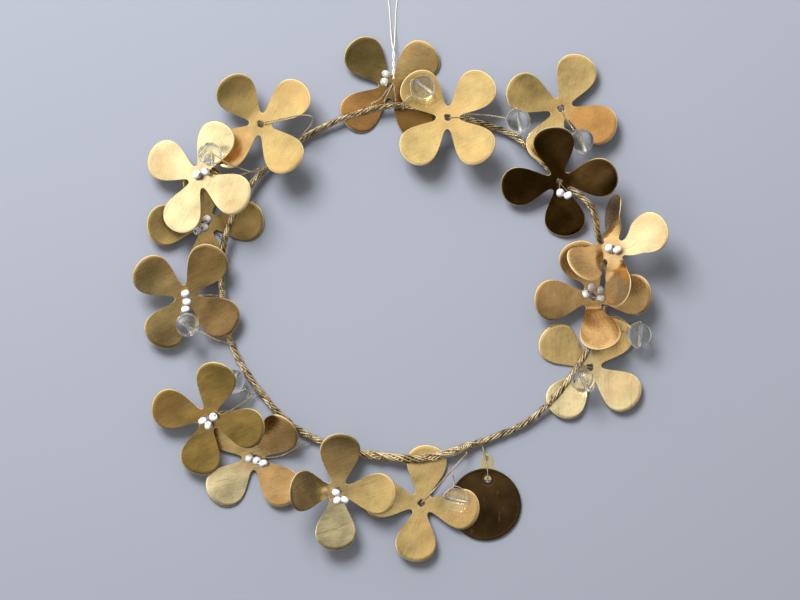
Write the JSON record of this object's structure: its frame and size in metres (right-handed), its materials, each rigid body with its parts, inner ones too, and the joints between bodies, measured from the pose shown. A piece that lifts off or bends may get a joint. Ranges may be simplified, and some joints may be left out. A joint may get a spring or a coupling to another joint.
{
  "type": "flower crown",
  "caption": "Hair crown of twisted brass wire with four-petal brass sheet flowers, pearl seed beads, round glass beads, a hang tag and a hanging thread.",
  "frame": {"origin": "centre of the crown's outline, without its thread, on the surface it lies on", "axes": "+Z along the hoop's axis, out of the flowers' faces; +Y towards the top flower and the hanging thread; +X to the right seen from the front"},
  "size_m": [0.2238, 0.248, 0.0299],
  "materials": {
    "brass_sheet": "satin, brushed and lightly tarnished",
    "aged_brass": "dark, mirror-like",
    "brass_wire": "drawn, satin",
    "pearl": "pearly lustre glass",
    "clear_glass": "polished",
    "thread": "pale waxed thread"
  },
  "bodies": {
    "crown": {"crown_ring": "brass_wire", "stem_01": "brass_wire", "seed_beads_01": "pearl", "stem_02": "brass_wire", "stem_03": "brass_wire", "stem_04": "brass_wire", "seed_beads_04": "pearl", "stem_05": "brass_wire", "seed_beads_05": "pearl", "stem_06": "brass_wire", "seed_beads_06": "pearl", "stem_07": "brass_wire", "stem_08": "brass_wire", "stem_09": "brass_wire", "seed_beads_09": "pearl", "stem_10": "brass_wire", "seed_beads_10": "pearl", "stem_11": "brass_wire", "seed_beads_11": "pearl", "stem_12": "brass_wire", "seed_beads_12": "pearl", "stem_13": "brass_wire", "seed_beads_13": "pearl", "stem_14": "brass_wire", "seed_beads_14": "pearl", "stem_15": "brass_wire", "crystal_wire_1": "brass_wire", "crystal_wire_4": "brass_wire", "crystal_wire_8": "brass_wire", "tag_backing_tab": "brass_sheet", "tag_loop": "brass_wire", "hanging_bail": "brass_wire", "hanging_thread": "thread"},
    "turning_flower_01": {"flower_01": "brass_sheet"},
    "turning_flower_02": {"flower_02": "brass_sheet"},
    "turning_flower_03": {"flower_03": "brass_sheet"},
    "turning_flower_04": {"flower_04": "brass_sheet"},
    "turning_flower_05": {"flower_05": "brass_sheet"},
    "turning_flower_06": {"flower_06": "brass_sheet"},
    "turning_flower_07": {"flower_07": "brass_sheet"},
    "turning_flower_08": {"flower_08": "brass_sheet"},
    "turning_flower_09": {"flower_09": "brass_sheet"},
    "turning_flower_10": {"flower_10": "brass_sheet"},
    "turning_flower_11": {"flower_11": "brass_sheet"},
    "turning_flower_12": {"flower_12": "brass_sheet"},
    "turning_flower_13": {"flower_13": "brass_sheet"},
    "turning_flower_14": {"flower_14": "brass_sheet"},
    "turning_flower_15": {"flower_15": "brass_sheet"},
    "spinning_crystal_1": {"crystal_1": "clear_glass"},
    "spinning_crystal_2": {"crystal_2": "clear_glass"},
    "spinning_crystal_3": {"crystal_3": "clear_glass"},
    "spinning_crystal_4": {"crystal_4": "clear_glass"},
    "spinning_crystal_5": {"crystal_5": "clear_glass"},
    "spinning_crystal_6": {"crystal_6": "clear_glass"},
    "spinning_crystal_7": {"crystal_7": "clear_glass"},
    "spinning_crystal_8": {"crystal_8": "clear_glass"},
    "spinning_crystal_9": {"crystal_9": "clear_glass"},
    "swinging_tag": {"round_tag": "aged_brass"}
  },
  "joints": [
    {"name": "flower_01_turn", "type": "hinge", "parent": "crown", "child": "turning_flower_01", "pos_m": [-0.00381, 0.09073, 0.0021], "axis": [0.0905, -0.0523, 0.9945], "range_deg": [-13, 10]},
    {"name": "flower_02_turn", "type": "hinge", "parent": "crown", "child": "turning_flower_02", "pos_m": [0.02069, 0.07663, 0.0118], "axis": [-0.147, 0.147, 0.9781], "range_deg": [-4, 4]},
    {"name": "flower_03_turn", "type": "hinge", "parent": "crown", "child": "turning_flower_03", "pos_m": [0.06899, 0.08073, 0.0069], "axis": [0.0696, 0.1205, 0.9903], "range_deg": [-4, 7]},
    {"name": "flower_04_turn", "type": "hinge", "parent": "crown", "child": "turning_flower_04", "pos_m": [0.06789, 0.04993, 0.0109], "axis": [-0.1053, -0.3929, 0.9135], "range_deg": [-4, 4]},
    {"name": "flower_05_turn", "type": "hinge", "parent": "crown", "child": "turning_flower_05", "pos_m": [0.09019, 0.02063, 0.0164], "axis": [-0.2865, 0.1158, 0.9511], "range_deg": [-19, 4]},
    {"name": "flower_06_turn", "type": "hinge", "parent": "crown", "child": "turning_flower_06", "pos_m": [0.08229, 0.00083, 0.0081], "axis": [-0.0121, -0.0687, 0.9976], "range_deg": [-10, 20]},
    {"name": "flower_07_turn", "type": "hinge", "parent": "crown", "child": "turning_flower_07", "pos_m": [0.08159, -0.02927, 0.0013], "axis": [-0.0349, 0.0604, 0.9976], "range_deg": [-20, 20]},
    {"name": "flower_08_turn", "type": "hinge", "parent": "crown", "child": "turning_flower_08", "pos_m": [0.00959, -0.08707, 0.0029], "axis": [0.0121, 0.0687, 0.9976], "range_deg": [-15, 20]},
    {"name": "flower_09_turn", "type": "hinge", "parent": "crown", "child": "turning_flower_09", "pos_m": [-0.02591, -0.08147, 0.0094], "axis": [0.1386, 0.0121, 0.9903], "range_deg": [-20, 20]},
    {"name": "flower_10_turn", "type": "hinge", "parent": "crown", "child": "turning_flower_10", "pos_m": [-0.06191, -0.06797, 0.0025], "axis": [-0.0436, -0.0755, 0.9962], "range_deg": [-20, 20]},
    {"name": "flower_11_turn", "type": "hinge", "parent": "crown", "child": "turning_flower_11", "pos_m": [-0.08051, -0.05047, 0.0109], "axis": [-0.174, -0.168, 0.9703], "range_deg": [-20, 20]},
    {"name": "flower_12_turn", "type": "hinge", "parent": "crown", "child": "turning_flower_12", "pos_m": [-0.09001, 0.00113, 0.0094], "axis": [0.0868, -0.1504, 0.9848], "range_deg": [-20, 20]},
    {"name": "flower_13_turn", "type": "hinge", "parent": "crown", "child": "turning_flower_13", "pos_m": [-0.08251, 0.03243, 0.0025], "axis": [0.1032, -0.0164, 0.9945], "range_deg": [-7, 7]},
    {"name": "flower_14_turn", "type": "hinge", "parent": "crown", "child": "turning_flower_14", "pos_m": [-0.08421, 0.05133, 0.0149], "axis": [-0.3378, 0.0535, 0.9397], "range_deg": [-16, 7]},
    {"name": "flower_15_turn", "type": "hinge", "parent": "crown", "child": "turning_flower_15", "pos_m": [-0.05841, 0.07383, 0.0129], "axis": [-0.1915, 0.1983, 0.9613], "range_deg": [-4, 4]},
    {"name": "crystal_1_spin", "type": "hinge", "parent": "crown", "child": "spinning_crystal_1", "pos_m": [0.01019, 0.08933, 0.0147], "axis": [0.8211, -0.5708, 0], "continuous": true},
    {"name": "crystal_2_spin", "type": "hinge", "parent": "crown", "child": "spinning_crystal_2", "pos_m": [0.05059, 0.07513, 0.0147], "axis": [0.1709, -0.9853, 0], "continuous": true},
    {"name": "crystal_3_spin", "type": "hinge", "parent": "crown", "child": "spinning_crystal_3", "pos_m": [0.07729, 0.06683, 0.0133], "axis": [0.3011, -0.9536, 0], "continuous": true},
    {"name": "crystal_4_spin", "type": "hinge", "parent": "crown", "child": "spinning_crystal_4", "pos_m": [0.10209, -0.01517, 0.0095], "axis": [-0.1005, -0.9949, 0], "continuous": true},
    {"name": "crystal_5_spin", "type": "hinge", "parent": "crown", "child": "spinning_crystal_5", "pos_m": [0.07789, -0.03457, 0.0125], "axis": [0.4711, -0.8821, 0], "continuous": true},
    {"name": "crystal_6_spin", "type": "hinge", "parent": "crown", "child": "spinning_crystal_6", "pos_m": [0.02429, -0.08507, 0.0087], "axis": [0.9798, -0.2, 0], "continuous": true},
    {"name": "crystal_7_spin", "type": "hinge", "parent": "crown", "child": "spinning_crystal_7", "pos_m": [-0.07031, -0.03487, 0.0073], "axis": [0.5593, 0.829, 0], "continuous": true},
    {"name": "crystal_8_spin", "type": "hinge", "parent": "crown", "child": "spinning_crystal_8", "pos_m": [-0.08901, -0.01087, 0.0155], "axis": [-0.1005, 0.2009, 0.9744], "continuous": true},
    {"name": "crystal_9_spin", "type": "hinge", "parent": "crown", "child": "spinning_crystal_9", "pos_m": [-0.07881, 0.06053, 0.0237], "axis": [0.1004, 0.0502, 0.9937], "continuous": true},
    {"name": "tag_swing", "type": "hinge", "parent": "crown", "child": "swinging_tag", "pos_m": [0.03799, -0.07677, 0.0013], "axis": [0, 0, 1], "range_deg": [-12, 35]}
  ]
}
